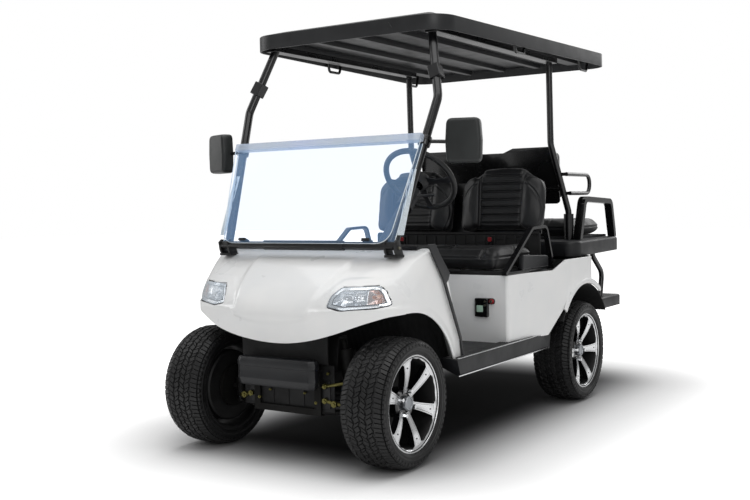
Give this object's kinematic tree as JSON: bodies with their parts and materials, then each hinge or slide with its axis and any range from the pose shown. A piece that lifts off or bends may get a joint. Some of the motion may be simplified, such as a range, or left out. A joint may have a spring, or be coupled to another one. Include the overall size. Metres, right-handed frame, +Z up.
{
  "type": "golf cart",
  "caption": "Electric golf cart with a roof, fold-down windshield, front bench and rear-facing flip seat; it steers, rolls, and both seat cushions swing on hinges.",
  "frame": {"origin": "on the ground, under the middle of the whole cart's box", "axes": "+Z up, the front faces -Y, +X is the vehicle's left, the driver's side"},
  "size_m": [1.484, 2.897, 1.8969],
  "materials": {
    "frame_steel": "satin black powder coat",
    "suspension_steel": "semi-gloss black",
    "motor_casting": "satin",
    "leaf_steel": "satin",
    "battery_case": "matte",
    "bumper_plastic": "grained",
    "body_white": "gloss",
    "trim_black": "grained",
    "lamp_lens": "clear",
    "tail_lens": "gloss",
    "dash_black": "grained",
    "mat_rubber": "ribbed",
    "sill_trim": "ribbed with bright strips",
    "pedal_steel": "satin",
    "liner_plastic": "matte",
    "panel_black": "gloss",
    "seat_vinyl": "grained vinyl",
    "tube_black": "gloss powder coat",
    "deck_plastic": "grained",
    "roof_plastic": "grained",
    "tinted_acrylic": "clear, light blue",
    "clear_hinge": "gloss",
    "mirror_housing": "grained",
    "tyre_rubber": "matte",
    "alloy": "machined with gloss black",
    "knuckle_steel": "rough",
    "wheel_grip": "soft grip"
  },
  "bodies": {
    "chassis": {"frame_rails": "frame_steel", "deck_bearers": "frame_steel", "front_suspension": "suspension_steel", "rear_axle": "suspension_steel", "drive_motor": "motor_casting", "leaf_springs": "leaf_steel", "battery_pack": "battery_case", "front_bumper": "bumper_plastic", "cowl": "body_white", "cowl_trims": "trim_black", "headlights": "lamp_lens", "dashboard": "dash_black", "floor_mat": "mat_rubber", "sills": "sill_trim", "pedals": "pedal_steel", "rear_body": "body_white", "wheel_liners": "liner_plastic", "seat_rim": "trim_black", "control_panel": "panel_black", "tail_lamps": "tail_lens", "front_backrests": "seat_vinyl", "seat_back_frame": "tube_black", "hip_restraints": "tube_black", "rear_deck": "deck_plastic", "rear_struts": "tube_black", "rear_back_panel": "panel_black", "rear_backrests": "seat_vinyl", "grab_loops": "tube_black", "armrests": "trim_black", "footrest_tubes": "tube_black", "rear_footrest": "deck_plastic", "roof": "roof_plastic", "front_pillars": "tube_black", "roof_rails": "tube_black", "roof_handles": "tube_black", "windshield_lower": "tinted_acrylic", "windshield_upper": "tinted_acrylic", "windshield_hinge": "clear_hinge", "windshield_base": "trim_black", "mirrors": "mirror_housing", "steering_column": "trim_black"},
    "knuckle_left": {"knuckle_left": "knuckle_steel"},
    "knuckle_right": {"knuckle_right": "knuckle_steel"},
    "wheel_front_left": {"tyre_front_left": "tyre_rubber", "rim_front_left": "alloy"},
    "wheel_front_right": {"tyre_front_right": "tyre_rubber", "rim_front_right": "alloy"},
    "wheel_rear_left": {"tyre_rear_left": "tyre_rubber", "rim_rear_left": "alloy"},
    "wheel_rear_right": {"tyre_rear_right": "tyre_rubber", "rim_rear_right": "alloy"},
    "steering_wheel": {"steering_wheel": "wheel_grip"},
    "steering_rack": {"steering_rack_bar": "suspension_steel"},
    "front_seat": {"front_cushion": "seat_vinyl"},
    "rear_seat": {"rear_cushion": "seat_vinyl", "rear_seat_board": "deck_plastic"}
  },
  "joints": [
    {"name": "steer_left", "type": "hinge", "parent": "chassis", "child": "knuckle_left", "pos_m": [0.338, -1.1835, 0.265], "axis": [0, 0, 1], "range_deg": [-28, 28]},
    {"name": "steer_right", "type": "hinge", "parent": "chassis", "child": "knuckle_right", "pos_m": [-0.338, -1.1835, 0.265], "axis": [0, 0, 1], "range_deg": [-28, 28]},
    {"name": "steering_wheel_turn", "type": "hinge", "parent": "chassis", "child": "steering_wheel", "pos_m": [0.282, -0.6385, 1.172], "axis": [0, 0.7547, 0.6561], "range_deg": [-336, 336]},
    {"name": "rack_slide", "type": "slide", "parent": "chassis", "child": "steering_rack", "axis": [1, 0, 0], "range_m": [-0.058, 0.058]},
    {"name": "wheel_front_left_spin", "type": "hinge", "parent": "knuckle_left", "child": "wheel_front_left", "pos_m": [0.47, -1.1835, 0.265], "axis": [1, 0, 0], "continuous": true},
    {"name": "wheel_front_right_spin", "type": "hinge", "parent": "knuckle_right", "child": "wheel_front_right", "pos_m": [-0.47, -1.1835, 0.265], "axis": [1, 0, 0], "continuous": true},
    {"name": "wheel_rear_left_spin", "type": "hinge", "parent": "chassis", "child": "wheel_rear_left", "pos_m": [0.536, 0.4815, 0.265], "axis": [1, 0, 0], "continuous": true},
    {"name": "wheel_rear_right_spin", "type": "hinge", "parent": "chassis", "child": "wheel_rear_right", "pos_m": [-0.536, 0.4815, 0.265], "axis": [1, 0, 0], "continuous": true},
    {"name": "front_seat_tilt", "type": "hinge", "parent": "chassis", "child": "front_seat", "pos_m": [0, -0.3155, 0.736], "axis": [1, 0, 0], "range_deg": [0, 75]},
    {"name": "rear_seat_flip", "type": "hinge", "parent": "chassis", "child": "rear_seat", "pos_m": [0, 1.2925, 0.851], "axis": [-1, 0, 0], "range_deg": [0, 180]}
  ],
  "couplings": [
    {"joint": "steer_right", "follows": "steer_left", "ratio": 1},
    {"joint": "steering_wheel_turn", "follows": "steer_left", "ratio": 12},
    {"joint": "rack_slide", "follows": "steer_left", "m_per_rad": -0.118}
  ]
}
